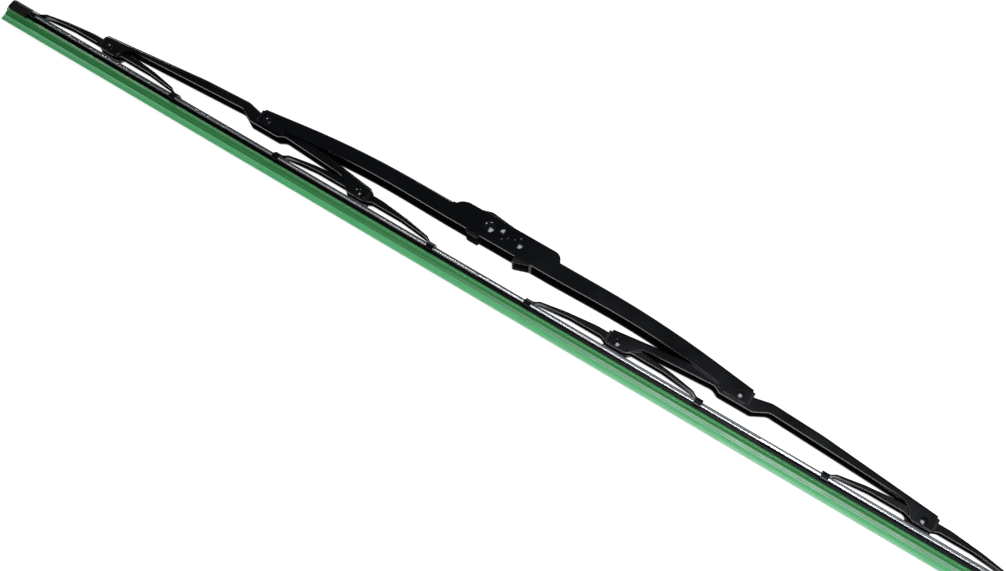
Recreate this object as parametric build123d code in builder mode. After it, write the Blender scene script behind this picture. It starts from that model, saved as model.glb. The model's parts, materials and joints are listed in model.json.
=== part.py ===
from build123d import *
from math import atan, tan
import os

os.makedirs("parts", exist_ok=True)

# A framed windscreen wiper blade, lying on its side. Millimetres.
# +X runs along the blade, +Y from the rubber's lip to the bridge's back, +Z is up, across the blade.
# The origin is the middle of the cross pin that the wiper arm hangs on.
# Heights below are counted from the rails' middle and lengths from the blade's middle.

# Length of the blade, and shares of it at which the pivots and claws stand
blade_length = 650.0
bridge_pivot_share = 0.2308
inner_yoke_share = 0.1266
claw_spread_share = 0.1582
pin_offset = -9.4

# Heights of the pivots above the rails
bridge_pivot_height = 15.4
yoke_pivot_height = 6.4

# Clearances
side_clearance = 0.12
liner_clearance = 0.05
running_clearance = 0.06
seat_clearance = 0.02
rail_clearance = 0.05
claw_clearance = 0.15
head_clearance = 0.2
swing_clearance = 1.45
crown_clearance = 0.85

# Bridge: a pressed channel that opens towards the rubber
bridge_sheet = 1.0
bridge_flange_height = 8.9
bridge_arch_slope = 0.13
bridge_arch_run = 35.0
bridge_arch_tail = 7.0
bridge_end_reach = 5.0
bridge_lobe_drop = 3.5
bridge_lobe_reach = 8.5
bridge_lobe_flare = 3.5
bridge_lobe_radius = 2.6
bridge_bend_radius = 0.7
ear_half_length = 34.0
ear_rise = 3.9
ear_drop = 10.0
pin_drop = 2.6
ear_corner_radius = 5.5
ear_lobe_radius = 9.0
ear_notch_radius = 0.7
ear_notch_depth = 1.9
window_margin = 3.5
dimple_diameter = 6.2
dimple_depth = 0.55
dimple_pitch = 9.3

# Pin and rivets
pin_diameter = 4.0
pin_head_diameter = 6.8
pin_head_height = 1.0
head_rim_height = 0.2
rivet_diameter = 2.6
rivet_head_diameter = 4.2
rivet_head_height = 0.6

# Levers
lever_sheet = 1.0
lever_end_reach = 5.2
lever_tail_lift = 0.6
lever_lobe_drop = 2.7
lever_lobe_reach = 6.4
lever_lobe_flare = 7.2
lever_knee_reach = 24.0
lever_knee_rise = 3.1
lever_neck_height = 4.3
lever_middle_rise = 3.0
lever_middle_drop = 4.7
lever_middle_reach = 9.5
lever_middle_flare = 4.0
lever_step_flare = 8.0
lever_step_start = 6.5
lever_step_end = 16.5
lever_step_rise = 2.3
lever_shoulder_reach = 46.0
lever_shoulder_drop = 1.4
lever_step_depth = 5.6
lever_tail_depth = 3.0
lever_tail_lobe_flare = 4.2
lever_lobe_radius = 2.2
lever_curve_radius = 5.0
lever_ease_radius = 10.0
lever_sweep_radius = 60.0
lever_bend_radius = 0.6

# Yokes
yoke_sheet = 0.9
yoke_crown_rise = 3.4
yoke_crown_reach = 14.0
yoke_arch_share = 0.65
yoke_arch_drop = 1.95
yoke_shoulder_rise = 2.8
yoke_shoulder_depth = 1.3
yoke_toe_length = 3.0
yoke_root_depth = 3.9
yoke_waist_share = 0.57
yoke_lobe_drop = 2.6
yoke_lobe_reach = 4.4
yoke_lobe_flare = 5.0
yoke_curve_radius = 2.0
yoke_crown_radius = 30.0
yoke_arch_radius = 60.0
yoke_bend_radius = 0.75
claw_length = 4.2
claw_wall = 0.9
claw_top_half = 2.6
claw_shoulder_drop = 2.2
claw_hook_reach = 1.5
claw_bend_radius = 0.5
claw_roof_radius = 0.95

# Liners: thin plastic channels between the nested metal channels
liner_wall = 0.5
liner_overhang = 1.6
bridge_liner_reach = 12.0
yoke_liner_reach = 7.0
liner_edge_inset = 0.5

# Rails and rubber
rail_thickness = 1.0
rail_width = 3.05
rail_inset = 2.5
rail_edge_radius = 0.2
head_rise = 2.35
head_half_width = 2.2
head_core_half = 1.15
head_corner_radius = 0.5
head_lip_half = 2.0
neck_half_width = 1.2
neck_top_drop = 1.3
neck_bottom_drop = 2.3
shoulder_half_width = 2.5
shoulder_edge_half = 2.8
shoulder_edge_drop = 4.0
ridge_half_width = 1.05
ridge_drop = 6.1
ridge_height = 0.35
groove_half_width = 0.55
groove_drop = 7.0
lip_root_half = 0.68
lip_root_drop = 7.3
lip_tip_half = 0.42
lip_drop = 10.5
lip_edge_radius = 0.12
wedge_hollow = 0.35
rubber_overhang = 1.5

# End caps
cap_length = 13.0
cap_claw_gap = 1.1
cap_wall = 0.75
cap_clearance = 0.15
cap_lip_gap = 0.3
cap_top_half = 3.0
cap_shoulder_drop = 1.7
cap_skirt_drop = 3.5
cap_corner_radius = 0.8
cap_hook_radius = 0.4

# Arm adapter: a clip that a hook arm wraps around
hook_width = 9.2
adapter_cheek = 0.68
adapter_roof = 1.4
adapter_wall = 1.2
adapter_nose_radius = 4.6
adapter_tail_reach = 31.0
adapter_back_reach = 10.8
adapter_back_rise = 6.2
adapter_back_radius = 2.5
adapter_dome_rise = 8.7
adapter_dome_back = 3.2
adapter_dome_foot = 13.0
adapter_dome_end_rise = 6.8
adapter_dome_radius = 5.0
adapter_chin_drop = 9.1
adapter_chin_end = 2.3
adapter_tongue_radius = 0.9
adapter_tail_radius = 2.0
adapter_latch_start = 20.3
adapter_latch_run = 1.7
adapter_latch_drop = 10.5
adapter_latch_end_drop = 7.4
adapter_corner_radius = 0.45

# How near an edge lies to a face to count as on it
edge_tolerance = 0.01

# Worked out from the sizes above
blade_end = blade_length / 2
bridge_pivot_offset = blade_length * bridge_pivot_share
inner_yoke_offset = blade_length * inner_yoke_share
claw_spread = blade_length * claw_spread_share
outer_yoke_offset = blade_end - cap_length - cap_claw_gap - (claw_spread + claw_length) / 2
bridge_half = hook_width / 2 + adapter_cheek + side_clearance + bridge_sheet
bridge_core_half = bridge_half - bridge_sheet
bridge_liner_half = bridge_core_half - liner_clearance
bridge_liner_core_half = bridge_liner_half - liner_wall
bridge_liner_drop = bridge_sheet + liner_clearance
lever_half = bridge_liner_core_half - side_clearance
lever_core_half = lever_half - lever_sheet
yoke_liner_half = lever_core_half - liner_clearance
yoke_liner_core_half = yoke_liner_half - liner_wall
yoke_liner_drop = lever_sheet + liner_clearance
yoke_half = yoke_liner_core_half - side_clearance
yoke_core_half = yoke_half - yoke_sheet
rail_half = rail_thickness / 2
rail_inner = head_core_half + rail_clearance
rail_outer = rail_inner + rail_width
claw_roof_height = head_rise + head_clearance
claw_top_height = claw_roof_height + claw_wall
claw_inner_half = rail_outer + claw_clearance
claw_outer_half = claw_inner_half + claw_wall
bridge_end = bridge_pivot_offset + bridge_end_reach
bridge_lobe_start = bridge_pivot_offset - bridge_lobe_reach
bridge_flange_end = bridge_lobe_start - bridge_lobe_flare
bridge_arch_knee = bridge_flange_end - bridge_arch_tail - bridge_arch_run
bridge_arch_radius = bridge_arch_run / tan(atan(bridge_arch_slope) / 2)
lever_middle_height = bridge_pivot_height + lever_middle_rise
bridge_end_height = lever_middle_height + swing_clearance + liner_wall + bridge_liner_drop
bridge_back_height = bridge_end_height + (bridge_end - bridge_arch_knee) * bridge_arch_slope
pin_height = bridge_back_height - pin_drop
ear_top_height = bridge_back_height + ear_rise
ear_low_height = bridge_back_height - ear_drop
ear_root_height = bridge_back_height - bridge_flange_height
notch_offset = ear_half_length + ear_notch_radius
notch_reach = bridge_bend_radius + bridge_sheet + seat_clearance
window_half_length = ear_half_length - window_margin
middle_x = -pin_offset
rails_y = -pin_height

side_plane = Plane(origin=(middle_x, rails_y, 0))
centre_plane = Plane.YZ.offset(middle_x)


def section_plane(offset):
    # Looks along the blade: local X is height above the rails, local Y is across the blade
    return Plane(origin=(middle_x + offset, rails_y, 0), x_dir=(0, 1, 0), z_dir=(1, 0, 0))


def keep(piece, name):
    piece.part.label = name
    export_step(piece.part, f"parts/{name}.step")


def mirrored(piece):
    with BuildPart() as twin:
        mirror(piece.part, about=centre_plane)
    return twin


def back_height(offset):
    # The bridge's back: level in the middle, then sloping down past the knee of its arch
    return bridge_back_height - max(0, offset - bridge_arch_knee) * bridge_arch_slope


def back_core(points, radii, half_width, bend_radius):
    # The hollow of a channel: all that lies under its back, ready to be cut away
    depth = -lip_drop
    with BuildPart() as core:
        with BuildSketch(side_plane):
            with BuildLine():
                FilletPolyline(*points, radius=radii)
                Polyline(points[-1], (points[-1][0], depth), (points[0][0], depth), points[0])
            make_face()
        extrude(amount=half_width, both=True)
        roof = core.faces().filter_by(lambda face: face.normal_at().Y > edge_tolerance)
        ridges = roof.edges().filter_by(lambda edge: abs(edge.center().Z) > half_width - edge_tolerance)
        fillet(ridges, bend_radius)
    return core.part


def riveted(offset, height, diameter, head_diameter, head_height, grip_half):
    # A pin with a domed head on each side, across the blade
    foot = Vector(middle_x + offset, rails_y + height, 0)
    with BuildPart() as pin:
        with BuildSketch(Plane(origin=foot, x_dir=(1, 0, 0), z_dir=(0, -1, 0))):
            with BuildLine():
                top = (0, grip_half + head_height)
                rim = (head_diameter / 2, grip_half + head_rim_height)
                TangentArc(top, rim, tangent=(1, 0))
                Polyline(rim, (head_diameter / 2, grip_half), (diameter / 2, grip_half), (diameter / 2, 0))
                mirror(about=Plane.XZ)
                Line(top, (0, -grip_half - head_height))
            make_face()
        revolve(axis=Axis(foot, (0, 0, 1)))
    return pin


# Bridge
bridge_back_points = [
    (0, bridge_back_height),
    (bridge_arch_knee, bridge_back_height),
    (bridge_end, back_height(bridge_end)),
]
bridge_lobe_low = bridge_pivot_height - bridge_lobe_drop
bridge_low_points = [
    (bridge_end, bridge_lobe_low),
    (bridge_lobe_start, bridge_lobe_low),
    (bridge_flange_end, back_height(bridge_flange_end) - bridge_flange_height),
    (bridge_arch_knee, ear_root_height),
    (ear_half_length, ear_low_height),
    (0, ear_low_height),
]
ear_foot_slope = (ear_root_height - ear_low_height) / (bridge_arch_knee - ear_half_length)
low_turn = atan(bridge_arch_slope) + atan(ear_foot_slope)
bridge_radii = [
    bridge_arch_radius,
    0,
    bridge_lobe_radius,
    bridge_lobe_radius,
    bridge_lobe_radius,
    bridge_arch_run / tan(low_turn / 2),
    0,
]
core_end = bridge_end + bridge_end_reach
bridge_core_points = [
    (0, bridge_back_height - bridge_sheet),
    (bridge_arch_knee, bridge_back_height - bridge_sheet),
    (core_end, back_height(core_end) - bridge_sheet),
]
bridge_core = back_core(
    bridge_core_points, [bridge_arch_radius - bridge_sheet], bridge_core_half, bridge_bend_radius
)


def ball_cap(x, side, rise):
    # The cap of a ball on an ear's outer face: a boss where it is added, a dimple where it is cut away
    foot = Vector(x, 0, side * bridge_half)
    with BuildPart() as cap:
        with BuildSketch(Plane(origin=foot, x_dir=(1, 0, 0), z_dir=(0, -1, 0))):
            with BuildLine():
                top = (0, side * rise)
                rim = (dimple_diameter / 2, 0)
                TangentArc(top, rim, tangent=(1, 0))
                Polyline(rim, (0, 0), top)
            make_face()
        revolve(axis=Axis(foot, (0, 0, 1)))
    return cap.part


# A dimple and a boss stand behind the pin, one pitch apart
dimples = [ball_cap(dimple_pitch, side, -dimple_depth) for side in (-1, 1)]
bosses = [ball_cap(2 * dimple_pitch, side, dimple_depth) for side in (-1, 1)]

with BuildPart() as bridge:
    with BuildSketch(side_plane):
        with BuildLine():
            FilletPolyline(*bridge_back_points, *bridge_low_points, radius=bridge_radii)
            Line(bridge_low_points[-1], bridge_back_points[0])
        make_face()
        with Locations((bridge_pivot_offset, bridge_pivot_height)):
            Circle(rivet_diameter / 2 + seat_clearance, mode=Mode.SUBTRACT)
        mirror(about=Plane.YZ)
        with BuildLine():
            FilletPolyline(
                (-ear_half_length, ear_root_height),
                (-ear_half_length, ear_top_height),
                (ear_half_length, ear_top_height),
                (ear_half_length, ear_root_height),
                radius=[0, ear_lobe_radius, ear_corner_radius, 0],
                close=True,
            )
        make_face()
        with Locations((pin_offset, pin_height)):
            Circle(pin_diameter / 2 + seat_clearance, mode=Mode.SUBTRACT)
    extrude(amount=bridge_half, both=True)
    # A relief notch in each fold, where the ears rise
    for side in (-1, 1):
        with BuildSketch(side_plane.offset(side * bridge_half)):
            with Locations((-notch_offset, bridge_back_height), (notch_offset, bridge_back_height)):
                SlotOverall(2 * ear_notch_depth, 2 * ear_notch_radius, rotation=90)
        extrude(amount=-side * notch_reach, mode=Mode.SUBTRACT)
    back_edges = bridge.edges().filter_by(
        lambda edge: abs(edge.center().Z) > bridge_half - edge_tolerance
        and abs(edge.center().X - middle_x) > notch_offset
        and edge.center().Y - rails_y > back_height(abs(edge.center().X - middle_x)) - bridge_sheet
        and edge.length > bridge_flange_height
    )
    fillet(back_edges, bridge_bend_radius + bridge_sheet)
    add(bridge_core, mode=Mode.SUBTRACT)
    mirror(bridge_core, about=centre_plane, mode=Mode.SUBTRACT)
    with BuildSketch(side_plane):
        with Locations((0, ear_top_height)):
            Rectangle(2 * window_half_length, 2 * bridge_flange_height)
    extrude(amount=bridge_core_half, both=True, mode=Mode.SUBTRACT)
    add(bosses)
    add(dimples, mode=Mode.SUBTRACT)
keep(bridge, "bridge")

arm_pin = riveted(pin_offset, pin_height, pin_diameter, pin_head_diameter, pin_head_height, bridge_half)
keep(arm_pin, "arm_pin")

# Bridge rivets and liners
liner_start = bridge_pivot_offset - bridge_liner_reach
liner_end = bridge_end + liner_overhang


def liner(back_points, cheek_low, hole, half_width, core_half, bend_radius):
    # A thin channel under a metal channel's back, with a hole for the rivet in each cheek
    with BuildPart() as shell:
        start, end = back_points
        with BuildSketch(side_plane):
            with BuildLine():
                Polyline(start, end, (end[0], cheek_low), (start[0], cheek_low), close=True)
            make_face()
            with Locations(hole):
                Circle(rivet_diameter / 2 + running_clearance, mode=Mode.SUBTRACT)
        extrude(amount=half_width, both=True)
        ridges = shell.faces().sort_by(Axis.Y)[-1].edges().filter_by(
            lambda edge: abs(edge.center().Z) > half_width - edge_tolerance
        )
        fillet(ridges, bend_radius)
        with BuildSketch(side_plane):
            with BuildLine():
                Polyline(
                    (start[0], start[1] - liner_wall),
                    (end[0], end[1] - liner_wall),
                    (end[0], cheek_low),
                    (start[0], cheek_low),
                    close=True,
                )
            make_face()
        extrude(amount=core_half, both=True, mode=Mode.SUBTRACT)
    return shell


bridge_liner_right = liner(
    [
        (liner_start, back_height(liner_start) - bridge_liner_drop),
        (liner_end, back_height(liner_end) - bridge_liner_drop),
    ],
    bridge_lobe_low + liner_edge_inset,
    (bridge_pivot_offset, bridge_pivot_height),
    bridge_liner_half,
    bridge_liner_core_half,
    bridge_bend_radius,
)
keep(bridge_liner_right, "bridge_liner_right")
keep(mirrored(bridge_liner_right), "bridge_liner_left")
for side, offset in (("left", -bridge_pivot_offset), ("right", bridge_pivot_offset)):
    rivet = riveted(
        offset, bridge_pivot_height, rivet_diameter, rivet_head_diameter, rivet_head_height, bridge_half
    )
    keep(rivet, f"bridge_rivet_{side}")

# Levers
lever_inner_end = inner_yoke_offset - lever_end_reach
lever_outer_end = outer_yoke_offset + lever_end_reach
lever_end_height = yoke_pivot_height + yoke_crown_rise + crown_clearance + liner_wall + yoke_liner_drop
lever_tail_height = lever_end_height + lever_tail_lift
lever_lobe_low = yoke_pivot_height - lever_lobe_drop
lever_middle_low = bridge_pivot_height - lever_middle_drop
lever_step_height = lever_middle_height + lever_step_rise
lever_shoulder_offset = bridge_pivot_offset + lever_shoulder_reach
lever_shoulder_height = lever_step_height - lever_shoulder_drop
lever_knee_offset = bridge_pivot_offset - lever_knee_reach
lever_knee_height = bridge_pivot_height + lever_knee_rise
lever_back_points = [
    (lever_inner_end, lever_end_height),
    (lever_knee_offset, lever_knee_height),
    (bridge_pivot_offset + lever_step_start, lever_middle_height),
    (bridge_pivot_offset + lever_step_end, lever_step_height),
    (lever_shoulder_offset, lever_shoulder_height),
    (lever_outer_end, lever_tail_height),
]
lever_back_radii = [lever_sweep_radius, lever_ease_radius, lever_ease_radius, lever_sweep_radius]
inner_neck = inner_yoke_offset + lever_lobe_reach + lever_lobe_flare
outer_neck = outer_yoke_offset - lever_lobe_reach - lever_tail_lobe_flare
middle_inner = bridge_pivot_offset - lever_middle_reach
middle_outer = bridge_pivot_offset + lever_middle_reach


def lever_back(offset):
    # Height of the lever's back between its corner points, and on past its ends
    pairs = list(zip(lever_back_points, lever_back_points[1:]))
    for (x0, y0), (x1, y1) in pairs:
        if offset <= x1:
            break
    return y0 + (y1 - y0) * (offset - x0) / (x1 - x0)


lever_low_points = [
    (lever_outer_end, lever_lobe_low),
    (outer_yoke_offset - lever_lobe_reach, lever_lobe_low),
    (outer_neck, lever_back(outer_neck) - lever_tail_depth),
    (middle_outer + lever_step_flare, lever_step_height - lever_step_depth),
    (middle_outer, lever_middle_low),
    (middle_inner, lever_middle_low),
    (middle_inner - lever_middle_flare, lever_knee_height - lever_step_depth),
    (inner_neck, lever_back(inner_neck) - lever_neck_height),
    (inner_yoke_offset + lever_lobe_reach, lever_lobe_low),
    (lever_inner_end, lever_lobe_low),
]
lever_low_radii = [
    lever_lobe_radius,
    lever_lobe_radius,
    lever_ease_radius,
    lever_curve_radius,
    lever_lobe_radius,
    lever_lobe_radius,
    lever_curve_radius,
    lever_ease_radius,
    lever_lobe_radius,
    lever_lobe_radius,
]
core_start = lever_inner_end - lever_end_reach
core_stop = lever_outer_end + lever_end_reach
lever_core_points = [
    (core_start, lever_back(core_start) - lever_sheet),
    *[(x, y - lever_sheet) for x, y in lever_back_points[1:-1]],
    (core_stop, lever_back(core_stop) - lever_sheet),
]
lever_core = back_core(lever_core_points, lever_back_radii, lever_core_half, lever_bend_radius)

with BuildPart() as lever_right:
    with BuildSketch(side_plane):
        with BuildLine():
            FilletPolyline(
                *lever_back_points,
                *lever_low_points,
                radius=[0, *lever_back_radii, 0, *lever_low_radii],
                close=True,
            )
        make_face()
        with Locations((bridge_pivot_offset, bridge_pivot_height)):
            Circle(rivet_diameter / 2 + running_clearance, mode=Mode.SUBTRACT)
        with Locations((inner_yoke_offset, yoke_pivot_height), (outer_yoke_offset, yoke_pivot_height)):
            Circle(rivet_diameter / 2 + seat_clearance, mode=Mode.SUBTRACT)
    extrude(amount=lever_half, both=True)
    lever_back_edges = lever_right.edges().filter_by(
        lambda edge: abs(edge.center().Z) > lever_half - edge_tolerance
        and edge.center().Y - rails_y > lever_back(edge.center().X - middle_x) - lever_sheet
        and edge.length > lever_sheet
    )
    fillet(lever_back_edges, lever_bend_radius + lever_sheet)
    add(lever_core, mode=Mode.SUBTRACT)
keep(lever_right, "lever_right")
keep(mirrored(lever_right), "lever_left")

# Yokes with their rivets and liners
claw_start = claw_spread / 2 - claw_length / 2
claw_shoulder_height = claw_top_height - claw_shoulder_drop
claw_hook_top = -rail_half - claw_clearance
claw_hook_low = claw_hook_top - claw_wall
claw_hook_half = claw_inner_half - claw_hook_reach
yoke_crown_height = yoke_pivot_height + yoke_crown_rise
yoke_lobe_low = yoke_pivot_height - yoke_lobe_drop
yoke_shoulder = claw_start - yoke_toe_length
yoke_shoulder_height = claw_roof_height + yoke_shoulder_rise
yoke_arch = claw_start * yoke_arch_share
yoke_waist = claw_start * yoke_waist_share


def yoke(offset):
    # A slim channel with a claw at each end, drawn from its pivot to one claw and mirrored
    back = [
        (0, yoke_crown_height),
        (yoke_crown_reach, yoke_crown_height),
        (yoke_arch, yoke_crown_height - yoke_arch_drop),
        (yoke_shoulder, yoke_shoulder_height),
        (claw_start, claw_top_height),
        (claw_start + claw_wall, claw_top_height),
    ]
    low = [
        (claw_start + claw_wall, claw_roof_height),
        (claw_start, claw_roof_height),
        (yoke_shoulder, yoke_shoulder_height - yoke_shoulder_depth),
        (yoke_waist, yoke_crown_height - yoke_root_depth),
        (yoke_lobe_reach + yoke_lobe_flare, yoke_crown_height - yoke_root_depth),
        (yoke_lobe_reach, yoke_lobe_low),
        (0, yoke_lobe_low),
    ]
    back_radii = [yoke_crown_radius, yoke_arch_radius, yoke_curve_radius, yoke_curve_radius]
    toe_radii = [0, 0, 0]
    low_radii = [yoke_curve_radius for _ in low[2:-1]]
    core_points = [(x, y - yoke_sheet) for x, y in back]
    core_end = core_points[-1][0]
    pivot_plane = Plane(origin=(middle_x + offset, rails_y, 0))
    with BuildPart() as core:
        with BuildSketch(pivot_plane):
            with BuildLine():
                FilletPolyline(*core_points, radius=back_radii)
                Polyline(core_points[-1], (core_end, -lip_drop), (0, -lip_drop), core_points[0])
            make_face()
            mirror(about=Plane.YZ)
        extrude(amount=yoke_core_half, both=True)
    with BuildPart() as arm:
        with BuildSketch(pivot_plane):
            with BuildLine():
                FilletPolyline(*back, *low, radius=[*back_radii, *toe_radii, *low_radii])
                Line(low[-1], back[0])
            make_face()
            mirror(about=Plane.YZ)
            with Locations((0, yoke_pivot_height)):
                Circle(rivet_diameter / 2 + running_clearance, mode=Mode.SUBTRACT)
        extrude(amount=yoke_half, both=True)
        crown_edges = arm.edges().filter_by(
            lambda edge: abs(edge.center().Z) > yoke_half - edge_tolerance
            and edge.center().Y - rails_y > yoke_crown_height - yoke_arch_drop
            and edge.length > yoke_crown_reach
        )
        fillet(crown_edges, yoke_bend_radius)
        add(core.part, mode=Mode.SUBTRACT)
        for end in (-1, 1):
            with BuildSketch(section_plane(offset + end * claw_spread / 2)):
                with BuildLine():
                    FilletPolyline(
                        (claw_top_height, 0),
                        (claw_top_height, claw_top_half),
                        (claw_shoulder_height, claw_outer_half),
                        (claw_hook_low, claw_outer_half),
                        (claw_hook_low, claw_hook_half),
                        (claw_hook_top, claw_hook_half),
                        (claw_hook_top, claw_inner_half),
                        (claw_shoulder_height - claw_wall / 2, claw_inner_half),
                        (claw_roof_height, claw_top_half - claw_wall / 2),
                        (claw_roof_height, 0),
                        radius=[claw_roof_radius, claw_bend_radius, claw_bend_radius, 0, 0, 0, 0, 0],
                    )
                    Line((claw_roof_height, 0), (claw_top_height, 0))
                make_face()
                mirror(about=Plane.XZ)
            extrude(amount=claw_length / 2, both=True)
    return arm


yoke_offsets = [-outer_yoke_offset, -inner_yoke_offset, inner_yoke_offset, outer_yoke_offset]
for number, offset in enumerate(yoke_offsets, start=1):
    keep(yoke(offset), f"yoke_{number}")
    rivet = riveted(
        offset, yoke_pivot_height, rivet_diameter, rivet_head_diameter, rivet_head_height, lever_half
    )
    keep(rivet, f"yoke_rivet_{number}")
    # The liner stands out past the lever's end and follows the slope of its back
    if abs(offset) == inner_yoke_offset:
        roof_ends = (lever_inner_end - liner_overhang, inner_yoke_offset + yoke_liner_reach)
    else:
        roof_ends = (outer_yoke_offset - yoke_liner_reach, lever_outer_end + liner_overhang)
    shell = liner(
        [(x, lever_back(x) - yoke_liner_drop) for x in roof_ends],
        lever_lobe_low + liner_edge_inset,
        (abs(offset), yoke_pivot_height),
        yoke_liner_half,
        yoke_liner_core_half,
        lever_bend_radius,
    )
    keep(shell if offset > 0 else mirrored(shell), f"yoke_liner_{number}")

# Rails
for name, side in (("rail_near", 1), ("rail_far", -1)):
    with BuildPart() as rail:
        with BuildSketch(section_plane(0)):
            with Locations((0, side * (rail_inner + rail_width / 2))):
                RectangleRounded(rail_thickness, rail_width, rail_edge_radius)
        extrude(amount=blade_end - rail_inset, both=True)
    keep(rail, name)

# Rubber
slot_half = rail_half + rail_clearance
with BuildPart() as rubber:
    with BuildSketch(section_plane(0)):
        with BuildLine():
            FilletPolyline(
                (head_rise, 0),
                (head_rise, head_half_width),
                (slot_half, head_half_width),
                (slot_half, head_core_half),
                (-slot_half, head_core_half),
                (-slot_half, head_lip_half),
                (-neck_top_drop, neck_half_width),
                (-neck_bottom_drop, neck_half_width),
                (-neck_bottom_drop, shoulder_half_width),
                (-shoulder_edge_drop, shoulder_edge_half),
                radius=[head_corner_radius, 0, 0, 0, 0, 0, 0, 0],
            )
            wedge_middle = (
                -(shoulder_edge_drop + ridge_drop) / 2 + wedge_hollow,
                (shoulder_edge_half + ridge_half_width) / 2 - wedge_hollow,
            )
            ThreePointArc(
                (-shoulder_edge_drop, shoulder_edge_half), wedge_middle, (-ridge_drop, ridge_half_width)
            )
            Polyline(
                (-ridge_drop, ridge_half_width),
                (-ridge_drop - ridge_height, ridge_half_width),
                (-groove_drop, groove_half_width),
                (-lip_root_drop, lip_root_half),
                (-lip_drop + lip_edge_radius, lip_tip_half),
                (-lip_drop, lip_tip_half - lip_edge_radius),
                (-lip_drop, 0),
                (head_rise, 0),
            )
        make_face()
        mirror(about=Plane.XZ)
    extrude(amount=blade_end + rubber_overhang, both=True)
keep(rubber, "rubber")

# End caps: sleeves over the head and the rails, with a skirt beside the rubber's shoulder
cap_roof = head_rise + cap_clearance
cap_top = cap_roof + cap_wall
cap_rail_half = rail_half + cap_clearance
cap_inner_half = rail_outer + cap_clearance
cap_outer_half = cap_inner_half + cap_wall
cap_head_half = head_half_width + cap_clearance
cap_slot_half = head_lip_half + cap_clearance
cap_low = -neck_bottom_drop + cap_lip_gap
cap_skirt_half = shoulder_edge_half + cap_lip_gap
with BuildPart() as end_cap_right:
    with BuildSketch(section_plane(blade_end - cap_length)):
        with BuildLine():
            FilletPolyline(
                (cap_top, 0),
                (cap_top, cap_top_half),
                (cap_top - cap_shoulder_drop, cap_outer_half),
                (-cap_skirt_drop, cap_outer_half),
                (-cap_skirt_drop, cap_skirt_half),
                (cap_low, cap_skirt_half),
                (cap_low, cap_slot_half),
                (-cap_rail_half, cap_slot_half),
                (-cap_rail_half, cap_inner_half),
                (cap_rail_half, cap_inner_half),
                (cap_rail_half, cap_head_half),
                (cap_roof, cap_head_half),
                (cap_roof, 0),
                radius=[cap_corner_radius, cap_corner_radius, cap_hook_radius, 0, 0, 0, 0, 0, 0, 0, 0],
            )
            Line((cap_roof, 0), (cap_top, 0))
        make_face()
        mirror(about=Plane.XZ)
    extrude(amount=cap_length)
keep(end_cap_right, "end_cap_right")
keep(mirrored(end_cap_right), "end_cap_left")

# Arm adapter: two cheeks, a nose round the pin that the hook bends about, a roof, and a latch under its tail
adapter_half = bridge_core_half - side_clearance
cheek_points = [
    (-adapter_back_reach, adapter_back_rise),
    (-adapter_dome_back, adapter_dome_rise),
    (adapter_dome_foot, adapter_dome_end_rise),
    (adapter_dome_foot, adapter_nose_radius),
    (adapter_tail_reach, adapter_nose_radius),
    (adapter_tail_reach, -adapter_latch_end_drop),
    (adapter_latch_start + adapter_latch_run, -adapter_latch_drop),
    (adapter_latch_start, -adapter_latch_drop),
    (adapter_latch_start, -adapter_nose_radius),
    (-adapter_chin_end, -adapter_nose_radius),
    (-adapter_chin_end, -adapter_chin_drop),
    (-adapter_back_reach, -adapter_chin_drop),
]
cheek_radii = [
    adapter_back_radius,
    adapter_dome_radius,
    adapter_tongue_radius,
    adapter_corner_radius,
    adapter_tail_radius,
    adapter_corner_radius,
    adapter_tongue_radius,
    adapter_tongue_radius,
    adapter_corner_radius,
    adapter_corner_radius,
    adapter_tongue_radius,
    adapter_back_radius,
]
cut_reach = adapter_tail_reach + adapter_back_reach
cut_rise = adapter_dome_rise + adapter_latch_drop
wall_starts = [(x, adapter_nose_radius) for x in (adapter_latch_start, adapter_tail_reach - adapter_wall)]
with BuildPart() as arm_adapter:
    with BuildSketch():
        with BuildLine():
            FilletPolyline(*cheek_points, radius=cheek_radii, close=True)
        make_face()
    extrude(amount=adapter_half, both=True)
    # Between the cheeks only the nose, the roof and the walls of the latch and the tail stay
    with BuildSketch():
        Rectangle(2 * cut_reach, 2 * cut_rise)
        Circle(adapter_nose_radius, mode=Mode.SUBTRACT)
        with Locations((0, adapter_nose_radius)):
            Rectangle(adapter_tail_reach, adapter_roof, align=(Align.MIN, Align.MAX), mode=Mode.SUBTRACT)
        with Locations(*wall_starts):
            Rectangle(adapter_wall, cut_rise, align=(Align.MIN, Align.MAX), mode=Mode.SUBTRACT)
    extrude(amount=hook_width / 2, both=True, mode=Mode.SUBTRACT)
    with BuildSketch():
        Circle(pin_diameter / 2 + running_clearance)
    extrude(amount=adapter_half, both=True, mode=Mode.SUBTRACT)
keep(arm_adapter, "arm_adapter")
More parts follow.
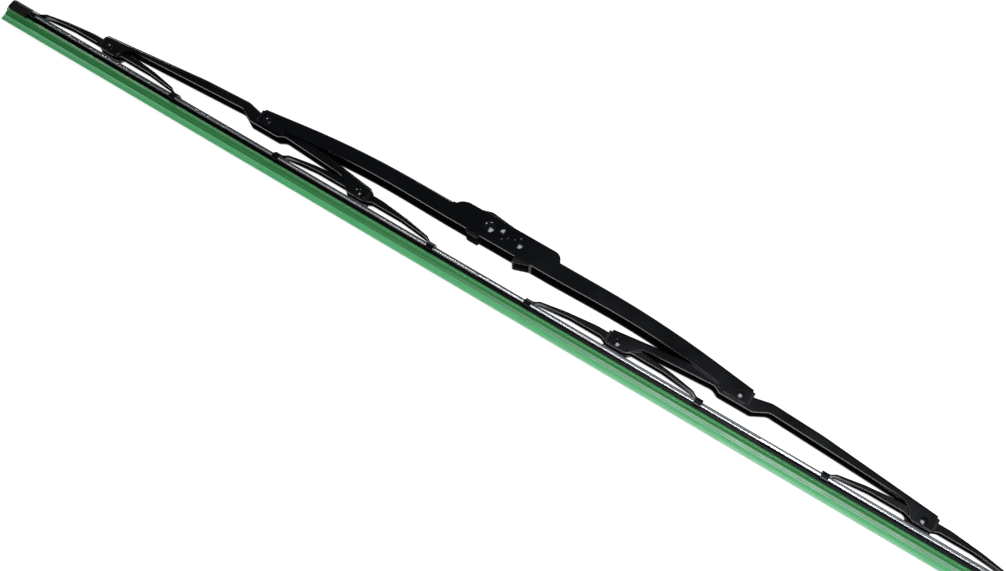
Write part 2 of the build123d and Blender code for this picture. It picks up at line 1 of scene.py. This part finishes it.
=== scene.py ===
import bpy
import json
import math
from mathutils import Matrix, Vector

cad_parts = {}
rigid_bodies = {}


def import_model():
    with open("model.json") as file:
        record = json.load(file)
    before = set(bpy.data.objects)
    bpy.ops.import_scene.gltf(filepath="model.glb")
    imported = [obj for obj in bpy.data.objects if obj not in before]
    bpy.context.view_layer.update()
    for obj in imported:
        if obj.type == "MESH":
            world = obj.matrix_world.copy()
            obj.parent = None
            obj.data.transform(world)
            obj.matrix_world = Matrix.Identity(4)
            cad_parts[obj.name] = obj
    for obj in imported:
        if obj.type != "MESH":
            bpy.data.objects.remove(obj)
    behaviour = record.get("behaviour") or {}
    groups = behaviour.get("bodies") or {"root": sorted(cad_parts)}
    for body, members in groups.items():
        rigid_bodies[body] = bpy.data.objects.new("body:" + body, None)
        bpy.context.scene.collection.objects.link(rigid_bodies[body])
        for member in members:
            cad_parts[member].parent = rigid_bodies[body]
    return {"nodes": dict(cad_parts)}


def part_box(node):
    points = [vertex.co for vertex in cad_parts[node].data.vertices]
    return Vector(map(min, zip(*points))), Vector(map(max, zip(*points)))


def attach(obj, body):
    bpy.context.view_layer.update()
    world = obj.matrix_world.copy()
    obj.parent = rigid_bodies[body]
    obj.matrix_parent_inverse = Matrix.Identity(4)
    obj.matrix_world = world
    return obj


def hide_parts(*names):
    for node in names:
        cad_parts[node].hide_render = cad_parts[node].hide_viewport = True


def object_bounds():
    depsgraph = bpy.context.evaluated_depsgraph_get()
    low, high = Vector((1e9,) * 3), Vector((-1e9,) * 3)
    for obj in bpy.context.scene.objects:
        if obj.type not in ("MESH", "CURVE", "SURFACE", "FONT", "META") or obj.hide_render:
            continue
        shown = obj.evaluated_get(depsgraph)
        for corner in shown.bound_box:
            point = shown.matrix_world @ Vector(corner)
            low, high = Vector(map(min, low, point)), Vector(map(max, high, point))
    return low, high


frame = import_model()
nodes = frame["nodes"]
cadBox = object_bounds()
mm = 0.001
print("frame loaded,", len(nodes), "nodes")


def hexColour(text):
    # sRGB hex to the linear colour that sockets take
    channels = [int(text[i:i + 2], 16) / 255 for i in (1, 3, 5)]
    linear = [c / 12.92 if c <= 0.04045 else ((c + 0.055) / 1.055) ** 2.4 for c in channels]
    return (*linear, 1.0)


def addNode(tree, kind, settings=None, inputs=None):
    # a node with its settings; an input is a fixed value or another node's output
    node = tree.nodes.new(kind)
    for name, value in (settings or {}).items():
        setattr(node, name, value)
    for name, value in (inputs or {}).items():
        if isinstance(value, bpy.types.NodeSocket):
            tree.links.new(value, node.inputs[name])
        else:
            node.inputs[name].default_value = value
    return node


def startMaterial(name):
    material = bpy.data.materials.new(name)
    material.use_nodes = True
    tree = material.node_tree
    tree.nodes.clear()
    coords = addNode(tree, "ShaderNodeTexCoord").outputs["Object"]
    return material, tree, coords


def perMetre(size):
    # texture scale for a grain of that many millimetres
    return 1 / (size * mm)


# where most of a noise texture's values lie
noiseBand = {"From Min": 0.3, "From Max": 0.7}
# cosines between the rounded and the true normal: a flat face, and an edge in full
edgeBand = {"From Min": 0.995, "From Max": 0.90}
edgeSamples = 4
# drops X from the normals of pieces that run along the blade, so that their cuts show no edge
acrossBlade = (0, 1, 1)


def findEdges(tree, radius, across=(1, 1, 1)):
    # the rounded normal leaves the face's own normal only near an edge, so their difference finds the edges
    bevel = addNode(tree, "ShaderNodeBevel", {"samples": edgeSamples}, {"Radius": radius * mm})
    kept = addNode(tree, "ShaderNodeVectorMath", {"operation": "MULTIPLY"}, {
        0: bevel.outputs["Normal"], 1: across})
    rounded = addNode(tree, "ShaderNodeVectorMath", {"operation": "NORMALIZE"}, {0: kept.outputs["Vector"]})
    facing = addNode(tree, "ShaderNodeNewGeometry")
    along = addNode(tree, "ShaderNodeVectorMath", {"operation": "DOT_PRODUCT"}, {
        0: rounded.outputs["Vector"], 1: facing.outputs["Normal"]})
    edge = addNode(tree, "ShaderNodeMapRange", {}, {
        "Value": along.outputs["Value"], **edgeBand, "To Min": 0.0, "To Max": 1.0})
    return rounded.outputs["Vector"], edge.outputs["Result"]


# Dip paint on pressed steel: a satin black skin with a fine orange peel, rubbed grey along its edges
coat = {
    "deep": "#040506", "thin": "#0a0c0f", "rubbed": "#22252a",
    "cloud": 24.0, "cloudGrain": {"Detail": 3.0, "Roughness": 0.6},
    "peel": 0.7, "peelGrain": {"Detail": 2.0, "Roughness": 0.5}, "peelStrength": 0.6,
    "scuff": 5.0, "scuffGrain": {"Detail": 4.0, "Roughness": 0.7},
    "patchy": {"From Min": 0.40, "From Max": 0.62, "To Min": 0.15, "To Max": 1.0},
    "roughLow": 0.13, "roughHigh": 0.19, "peelHeight": 0.006, "edgeRadius": 0.22,
    "ior": 1.5, "gloss": 0.5,
}


def coatMaterial(name, look):
    material, tree, coords = startMaterial(name)
    cloud = addNode(tree, "ShaderNodeTexNoise", {}, {
        "Vector": coords, "Scale": perMetre(look["cloud"]), **look["cloudGrain"]})
    peel = addNode(tree, "ShaderNodeTexNoise", {}, {
        "Vector": coords, "Scale": perMetre(look["peel"]), **look["peelGrain"]})
    scuff = addNode(tree, "ShaderNodeTexNoise", {}, {
        "Vector": coords, "Scale": perMetre(look["scuff"]), **look["scuffGrain"]})
    rounded, edge = findEdges(tree, look["edgeRadius"])
    patchy = addNode(tree, "ShaderNodeMapRange", {}, {"Value": scuff.outputs["Fac"], **look["patchy"]})
    wear = addNode(tree, "ShaderNodeMath", {"operation": "MULTIPLY", "use_clamp": True}, {
        0: edge, 1: patchy.outputs["Result"]})
    skin = addNode(tree, "ShaderNodeMix", {"data_type": "RGBA"}, {
        "Factor": cloud.outputs["Fac"], 6: hexColour(look["deep"]), 7: hexColour(look["thin"])})
    colour = addNode(tree, "ShaderNodeMix", {"data_type": "RGBA"}, {
        "Factor": wear.outputs["Value"], 6: skin.outputs[2], 7: hexColour(look["rubbed"])})
    rough = addNode(tree, "ShaderNodeMapRange", {}, {
        "Value": cloud.outputs["Fac"], **noiseBand, "To Min": look["roughLow"], "To Max": look["roughHigh"]})
    bump = addNode(tree, "ShaderNodeBump", {}, {
        "Height": peel.outputs["Fac"], "Distance": look["peelHeight"] * mm, "Strength": look["peelStrength"],
        "Normal": rounded})
    shader = addNode(tree, "ShaderNodeBsdfPrincipled", {}, {
        "Base Color": colour.outputs[2], "Roughness": rough.outputs["Result"], "IOR": look["ior"],
        "Specular IOR Level": look["gloss"], "Normal": bump.outputs["Normal"]})
    addNode(tree, "ShaderNodeOutputMaterial", {}, {"Surface": shader.outputs["BSDF"]})
    return material


blackPaint = coatMaterial("black_dip_paint", coat)

# Peened rivet and pin heads carry the same paint, burnished by the tool and by turning
burnish = dict(coat, deep="#08090a", thin="#121417", rubbed="#3a3d42", cloud=2.5,
               roughLow=0.11, roughHigh=0.16)
rivetPaint = coatMaterial("burnished_rivet_paint", burnish)

# Acetal, injection moulded with a fine spark texture: a duller black than the paint, with softer edges
acetal = dict(coat, deep="#030303", thin="#070708", rubbed="#121315", cloud=9.0, peel=0.35, scuff=2.5,
              roughLow=0.42, roughHigh=0.54, peelHeight=0.02, edgeRadius=0.18, gloss=0.2)
mouldedAcetal = coatMaterial("black_moulded_acetal", acetal)
print("paint and plastic ready")

# Cold rolled stainless strip: bright, with fine rolling lines along its length and soft stains across it
strip = {
    "bright": "#e6e8ea", "stained": "#c0c3c7",
    "line": 0.12, "run": 45.0, "lineGrain": {"Detail": 3.0, "Roughness": 0.6}, "lineStrength": 0.5,
    "stain": 30.0, "stainGrain": {"Detail": 4.0, "Roughness": 0.6},
    "stainAmount": {"From Min": 0.42, "From Max": 0.68, "To Min": 0.0, "To Max": 0.8},
    "roughLow": 0.28, "roughHigh": 0.42, "lineHeight": 0.003, "edgeRadius": 0.45,
}


def drawnLines(tree, coords, look):
    # noise drawn out along the blade, as rolling and extruding leave it
    across = perMetre(look["line"])
    drawn = addNode(tree, "ShaderNodeMapping", {}, {
        "Vector": coords, "Scale": (perMetre(look["run"]), across, across)})
    return addNode(tree, "ShaderNodeTexNoise", {}, {
        "Vector": drawn.outputs["Vector"], "Scale": 1.0, **look["lineGrain"]})


rolledSteel, tree, coords = startMaterial("rolled_stainless_strip")
lines = drawnLines(tree, coords, strip)
stain = addNode(tree, "ShaderNodeTexNoise", {}, {
    "Vector": coords, "Scale": perMetre(strip["stain"]), **strip["stainGrain"]})
stainAmount = addNode(tree, "ShaderNodeMapRange", {}, {"Value": stain.outputs["Fac"], **strip["stainAmount"]})
colour = addNode(tree, "ShaderNodeMix", {"data_type": "RGBA"}, {
    "Factor": stainAmount.outputs["Result"], 6: hexColour(strip["bright"]), 7: hexColour(strip["stained"])})
rough = addNode(tree, "ShaderNodeMapRange", {}, {
    "Value": lines.outputs["Fac"], **noiseBand, "To Min": strip["roughLow"], "To Max": strip["roughHigh"]})
rounded = findEdges(tree, strip["edgeRadius"], acrossBlade)[0]
bump = addNode(tree, "ShaderNodeBump", {}, {
    "Height": lines.outputs["Fac"], "Distance": strip["lineHeight"] * mm, "Strength": strip["lineStrength"],
    "Normal": rounded})
shader = addNode(tree, "ShaderNodeBsdfPrincipled", {}, {
    "Base Color": colour.outputs[2], "Metallic": 1.0, "Roughness": rough.outputs["Result"],
    "Normal": bump.outputs["Normal"]})
addNode(tree, "ShaderNodeOutputMaterial", {}, {"Surface": shader.outputs["BSDF"]})
print("steel ready")

railsMiddle = (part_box("rail_near")[0].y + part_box("rail_near")[1].y) / 2

# Silicone squeegee, extruded: a clear green with long die lines, painted paler towards the thin lip as
# painted glow, with painted highlights along its edges and a painted shade line in its groove
squeegee = {
    "deep": "#1a6a2c", "body": "#369049", "lip": "#46a363", "edge": "#a8e6b6", "grooveShade": "#1d4a2b",
    "bodyDrop": 5.9, "lipDrop": 7.4, "grooveDrop": 6.6, "grooveHalf": 0.18,
    "line": 0.34, "run": 90.0, "lineGrain": {"Detail": 3.0, "Roughness": 0.55},
    "lineHeight": 0.01, "lineStrength": 0.5,
    "cloud": 14.0, "cloudGrain": {"Detail": 4.0, "Roughness": 0.6}, "roughLow": 0.36, "roughHigh": 0.46,
    "edgeRadius": 0.3, "edgeTop": 3.0, "edgeFull": 3.8,
    "ior": 1.43, "gloss": 1.0, "glowWeight": 0.15, "glowRadius": (0.35, 1.0, 0.5), "glow": 1.6,
}
greenRubber, tree, coords = startMaterial("green_silicone_squeegee")
lines = drawnLines(tree, coords, squeegee)
cloud = addNode(tree, "ShaderNodeTexNoise", {}, {
    "Vector": coords, "Scale": perMetre(squeegee["cloud"]), **squeegee["cloudGrain"]})
place = addNode(tree, "ShaderNodeSeparateXYZ", {}, {"Vector": coords})
# painted glow: from the shoulder to the lip the green is painted paler, standing in for light shining through
# the thin lip
paintedGlowMask = addNode(tree, "ShaderNodeMapRange", {"interpolation_type": "SMOOTHSTEP"}, {
    "Value": place.outputs["Y"],
    "From Min": railsMiddle - squeegee["bodyDrop"] * mm, "From Max": railsMiddle - squeegee["lipDrop"] * mm,
    "To Min": 0.0, "To Max": 1.0})
streak = addNode(tree, "ShaderNodeMapRange", {}, {
    "Value": lines.outputs["Fac"], **noiseBand, "To Min": 0.0, "To Max": 1.0})
bodyColour = addNode(tree, "ShaderNodeMix", {"data_type": "RGBA"}, {
    "Factor": streak.outputs["Result"], 6: hexColour(squeegee["deep"]), 7: hexColour(squeegee["body"])})
paintedGlowColour = addNode(tree, "ShaderNodeMix", {"data_type": "RGBA"}, {
    "Factor": paintedGlowMask.outputs["Result"], 6: bodyColour.outputs[2], 7: hexColour(squeegee["lip"])})
# painted shade: a dark line is painted along the groove between wedge and lip, where shade falls
grooveShade = addNode(tree, "ShaderNodeMath", {"operation": "COMPARE"}, {
    0: place.outputs["Y"], 1: railsMiddle - squeegee["grooveDrop"] * mm, 2: squeegee["grooveHalf"] * mm})
withPaintedGrooveShade = addNode(tree, "ShaderNodeMix", {"data_type": "RGBA"}, {
    "Factor": grooveShade.outputs["Value"], 6: paintedGlowColour.outputs[2], 7: hexColour(squeegee["grooveShade"])})
rounded, edge = findEdges(tree, squeegee["edgeRadius"], acrossBlade)
# the painted edge highlight is kept off the shoulder's upper corner, which lies in shade under the rails
lit = addNode(tree, "ShaderNodeMapRange", {}, {
    "Value": place.outputs["Y"],
    "From Min": railsMiddle - squeegee["edgeTop"] * mm, "From Max": railsMiddle - squeegee["edgeFull"] * mm,
    "To Min": 0.0, "To Max": 1.0})
paintedEdgeHighlight = addNode(tree, "ShaderNodeMath", {"operation": "MULTIPLY"}, {0: edge, 1: lit.outputs["Result"]})
# painted highlight: edges below the shoulder are painted pale green where light catches them
colour = addNode(tree, "ShaderNodeMix", {"data_type": "RGBA"}, {
    "Factor": paintedEdgeHighlight.outputs["Value"], 6: withPaintedGrooveShade.outputs[2], 7: hexColour(squeegee["edge"])})
rough = addNode(tree, "ShaderNodeMapRange", {}, {
    "Value": cloud.outputs["Fac"], **noiseBand,
    "To Min": squeegee["roughLow"], "To Max": squeegee["roughHigh"]})
bump = addNode(tree, "ShaderNodeBump", {}, {
    "Height": lines.outputs["Fac"], "Distance": squeegee["lineHeight"] * mm,
    "Strength": squeegee["lineStrength"], "Normal": rounded})
shader = addNode(tree, "ShaderNodeBsdfPrincipled", {"subsurface_method": "RANDOM_WALK"}, {
    "Base Color": colour.outputs[2], "Roughness": rough.outputs["Result"],
    "IOR": squeegee["ior"], "Specular IOR Level": squeegee["gloss"],
    "Subsurface Weight": squeegee["glowWeight"], "Subsurface Radius": squeegee["glowRadius"],
    "Subsurface Scale": squeegee["glow"] * mm, "Normal": bump.outputs["Normal"]})
addNode(tree, "ShaderNodeOutputMaterial", {}, {"Surface": shader.outputs["BSDF"]})

# Rubber of the head, coated with graphite: a soft grey black, polished in long lines by the claws and rails
graphite = {
    "deep": "#1c1d1f", "polished": "#3c3d40", "neckShade": "#040405", "polishedAbove": 0.3,
    "line": 0.2, "run": 55.0, "lineGrain": {"Detail": 3.0, "Roughness": 0.6},
    "lineHeight": 0.015, "lineStrength": 0.5, "roughLow": 0.30, "roughHigh": 0.46,
    "ior": 1.52, "neckGloss": 0.08, "headGloss": 0.5,
}
headRubber, tree, coords = startMaterial("graphite_head_rubber")
lines = drawnLines(tree, coords, graphite)
headColour = addNode(tree, "ShaderNodeMix", {"data_type": "RGBA"}, {
    "Factor": lines.outputs["Fac"], 6: hexColour(graphite["deep"]), 7: hexColour(graphite["polished"])})
place = addNode(tree, "ShaderNodeSeparateXYZ", {}, {"Vector": coords})
aboveRails = addNode(tree, "ShaderNodeMapRange", {}, {
    "Value": place.outputs["Y"],
    "From Min": railsMiddle, "From Max": railsMiddle + graphite["polishedAbove"] * mm,
    "To Min": 0.0, "To Max": 1.0})
# painted shade: below the rails' middle the head is painted near black, standing in for the shade under the
# rails
colour = addNode(tree, "ShaderNodeMix", {"data_type": "RGBA"}, {
    "Factor": aboveRails.outputs["Result"], 6: hexColour(graphite["neckShade"]), 7: headColour.outputs[2]})
# and its gloss is lowered there too
gloss = addNode(tree, "ShaderNodeMapRange", {}, {
    "Value": aboveRails.outputs["Result"], "To Min": graphite["neckGloss"], "To Max": graphite["headGloss"]})
rough = addNode(tree, "ShaderNodeMapRange", {}, {
    "Value": lines.outputs["Fac"], **noiseBand,
    "To Min": graphite["roughHigh"], "To Max": graphite["roughLow"]})
bump = addNode(tree, "ShaderNodeBump", {}, {
    "Height": lines.outputs["Fac"], "Distance": graphite["lineHeight"] * mm,
    "Strength": graphite["lineStrength"]})
shader = addNode(tree, "ShaderNodeBsdfPrincipled", {}, {
    "Base Color": colour.outputs[2], "Roughness": rough.outputs["Result"], "IOR": graphite["ior"],
    "Specular IOR Level": gloss.outputs["Result"], "Normal": bump.outputs["Normal"]})
addNode(tree, "ShaderNodeOutputMaterial", {}, {"Surface": shader.outputs["BSDF"]})
print("rubber ready")

# CAD nodes keep their shape and take a finish
finishes = {
    "bridge": blackPaint, "lever": blackPaint, "yoke": blackPaint,
    "arm_pin": rivetPaint, "bridge_rivet": rivetPaint, "yoke_rivet": rivetPaint,
    "arm_adapter": mouldedAcetal, "bridge_liner": mouldedAcetal, "yoke_liner": mouldedAcetal,
    "end_cap": mouldedAcetal,
}
for name, node in nodes.items():
    fits = [start for start in finishes if name.startswith(start)]
    if fits:
        node.data.materials.clear()
        node.data.materials.append(finishes[max(fits, key=len)])
print("nodes finished")

# The rubber and the two rails bend with the yokes: each is cut midway between neighbouring yokes, and a
# tongue reaches into the next length, so the cuts stay closed when the yokes turn
lengths = {"yokes": 4, "weld": 0.002, "flat": 1.0, "tongue": 1.6, "tongueInset": 0.12, "smooth": 35.0}
yokeNames = [f"yoke_{i + 1}" for i in range(lengths["yokes"])]
yokeMiddles = [(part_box(name)[0].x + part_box(name)[1].x) / 2 for name in yokeNames]
cuts = [(a + b) / 2 for a, b in zip(yokeMiddles, yokeMiddles[1:])]


def cutLength(node, index):
    bpy.ops.object.select_all(action="DESELECT")
    nodes[node].select_set(True)
    bpy.context.view_layer.objects.active = nodes[node]
    bpy.ops.object.duplicate()
    piece = bpy.context.object
    bpy.ops.object.parent_clear(type="CLEAR_KEEP_TRANSFORM")
    for key in list(piece.keys()):
        del piece[key]
    piece.name = piece.data.name = f"{node}_{index + 1}"
    bpy.ops.object.mode_set(mode="EDIT")
    bpy.ops.mesh.select_mode(type="FACE")
    bpy.ops.mesh.select_all(action="SELECT")
    bpy.ops.mesh.remove_doubles(threshold=lengths["weld"] * mm)
    bpy.ops.mesh.dissolve_limited(angle_limit=math.radians(lengths["flat"]))
    if index > 0:
        bpy.ops.mesh.select_all(action="SELECT")
        bpy.ops.mesh.bisect(
            plane_co=(cuts[index - 1], 0, 0), plane_no=(1, 0, 0), use_fill=True, clear_inner=True)
    if index < len(cuts):
        bpy.ops.mesh.select_all(action="SELECT")
        bpy.ops.mesh.bisect(
            plane_co=(cuts[index], 0, 0), plane_no=(1, 0, 0), use_fill=True, clear_outer=True)
        bpy.ops.mesh.inset(thickness=lengths["tongueInset"] * mm)
        bpy.ops.mesh.extrude_region_move(TRANSFORM_OT_translate={"value": (lengths["tongue"] * mm, 0, 0)})
    return piece


def closeLength(piece, index, materials):
    bpy.ops.object.mode_set(mode="OBJECT")
    bpy.ops.object.shade_smooth_by_angle(angle=math.radians(lengths["smooth"]))
    piece.data.materials.clear()
    for material in materials:
        piece.data.materials.append(material)
    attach(piece, yokeNames[index])


for node in ("rail_near", "rail_far"):
    rails = []
    for index in range(lengths["yokes"]):
        rails.append(cutLength(node, index))
        closeLength(rails[-1], index, [rolledSteel])
    for rail in rails:
        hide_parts(node)
print("rails cut")

rubber = {"greenBelow": 2.75}
greenTop = railsMiddle - rubber["greenBelow"] * mm
blades = []
for index in range(lengths["yokes"]):
    blades.append(cutLength("rubber", index))
    bpy.ops.mesh.select_all(action="SELECT")
    bpy.ops.mesh.bisect(plane_co=(0, greenTop, 0), plane_no=(0, 1, 0))
    closeLength(blades[-1], index, [headRubber, greenRubber])
for blade in blades:
    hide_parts("rubber")
    for face in blade.data.polygons:
        face.material_index = 1 if face.center.y < greenTop else 0
print("rubber cut")

# White table top: white to the eye and in gloss, with the soft shadow kept
table = {"size": 8.0, "white": 0.83, "shadowed": "#b4b4b4", "paper": "#e4e4e4"}
bpy.ops.object.select_all(action="DESELECT")
bpy.ops.mesh.primitive_plane_add(size=table["size"], location=(0, 0, cadBox[0].z))
tableTop = bpy.context.object
tableTop.name = "table_top"
whiteTable, tree, coords = startMaterial("white_table")
rays = addNode(tree, "ShaderNodeLightPath")
shown = addNode(tree, "ShaderNodeMath", {"operation": "MAXIMUM"}, {
    0: rays.outputs["Is Camera Ray"], 1: rays.outputs["Is Glossy Ray"]})
shown = addNode(tree, "ShaderNodeMath", {"operation": "MAXIMUM"}, {
    0: shown.outputs["Value"], 1: rays.outputs["Is Transmission Ray"]})
paper = addNode(tree, "ShaderNodeBsdfDiffuse", {}, {"Color": hexColour(table["paper"])})
shadowed = addNode(tree, "ShaderNodeBsdfDiffuse", {}, {"Color": hexColour(table["shadowed"])})
white = addNode(tree, "ShaderNodeEmission", {}, {"Strength": table["white"]})
bright = addNode(tree, "ShaderNodeAddShader", {}, {0: shadowed.outputs["BSDF"], 1: white.outputs["Emission"]})
surface = addNode(tree, "ShaderNodeMixShader", {}, {
    "Fac": shown.outputs["Value"], 1: paper.outputs["BSDF"], 2: bright.outputs["Shader"]})
addNode(tree, "ShaderNodeOutputMaterial", {}, {"Surface": surface.outputs["Shader"]})
tableTop.data.materials.append(whiteTable)

# Room: pale walls low down, a dim ceiling
room = {"walls": 0.45, "ceiling": 0.04, "low": 0.10, "high": 0.45}
world = bpy.data.worlds.new("room")
bpy.context.scene.world = world
world.use_nodes = True
tree = world.node_tree
tree.nodes.clear()
heading = addNode(tree, "ShaderNodeTexCoord").outputs["Generated"]
parts = addNode(tree, "ShaderNodeSeparateXYZ", {}, {"Vector": heading})
glow = addNode(tree, "ShaderNodeMapRange", {"interpolation_type": "SMOOTHSTEP"}, {
    "Value": parts.outputs["Z"], "From Min": room["low"], "From Max": room["high"],
    "To Min": room["walls"], "To Max": room["ceiling"]})
sky = addNode(tree, "ShaderNodeBackground", {}, {"Strength": glow.outputs["Result"]})
addNode(tree, "ShaderNodeOutputWorld", {}, {"Surface": sky.outputs["Background"]})

# Lamps: a soft box over the right half, whose sheen lies on the rubber, and two small ones behind that glint
# on domed heads
lamps = {
    "soft_box": {
        "at": (0.24, -0.10, 0.80), "to": (0.24, -0.10, 0), "size": 0.5, "watts": 8.0, "tint": "#f6f9ff"},
    "left_lamp": {"at": (-0.875, 0.57, 0.68), "to": (0, 0, 0), "size": 0.13, "watts": 1.5, "tint": "#ffffff"},
    "back_lamp": {"at": (-0.306, 1.03, 0.65), "to": (0, 0, 0), "size": 0.13, "watts": 1.5, "tint": "#ffffff"},
}
for name, lamp in lamps.items():
    turn = (Vector(lamp["to"]) - Vector(lamp["at"])).to_track_quat("-Z", "Y").to_euler()
    bpy.ops.object.light_add(type="AREA", location=lamp["at"], rotation=turn)
    light = bpy.context.object
    light.name = name
    light.data.size = lamp["size"]
    light.data.energy = lamp["watts"]
    light.data.color = hexColour(lamp["tint"])[:3]
print("table, room and lamps set")

# Camera: from the rubber's side, high up, as the photo was taken
view = {
    "at": (150.0, -225.2, 598.3), "tilt": 21.746, "turn": 32.13,
    "lens": 42.94, "sensor": 36.0, "nearest": 10.0,
}
bpy.ops.object.camera_add(
    location=[v * mm for v in view["at"]],
    rotation=(math.radians(view["tilt"]), 0, math.radians(view["turn"])))
camera = bpy.context.object
camera.data.lens = view["lens"]
camera.data.sensor_width = view["sensor"]
camera.data.clip_start = view["nearest"] * mm
bpy.context.scene.camera = camera
bpy.context.scene.view_settings.view_transform = "Standard"
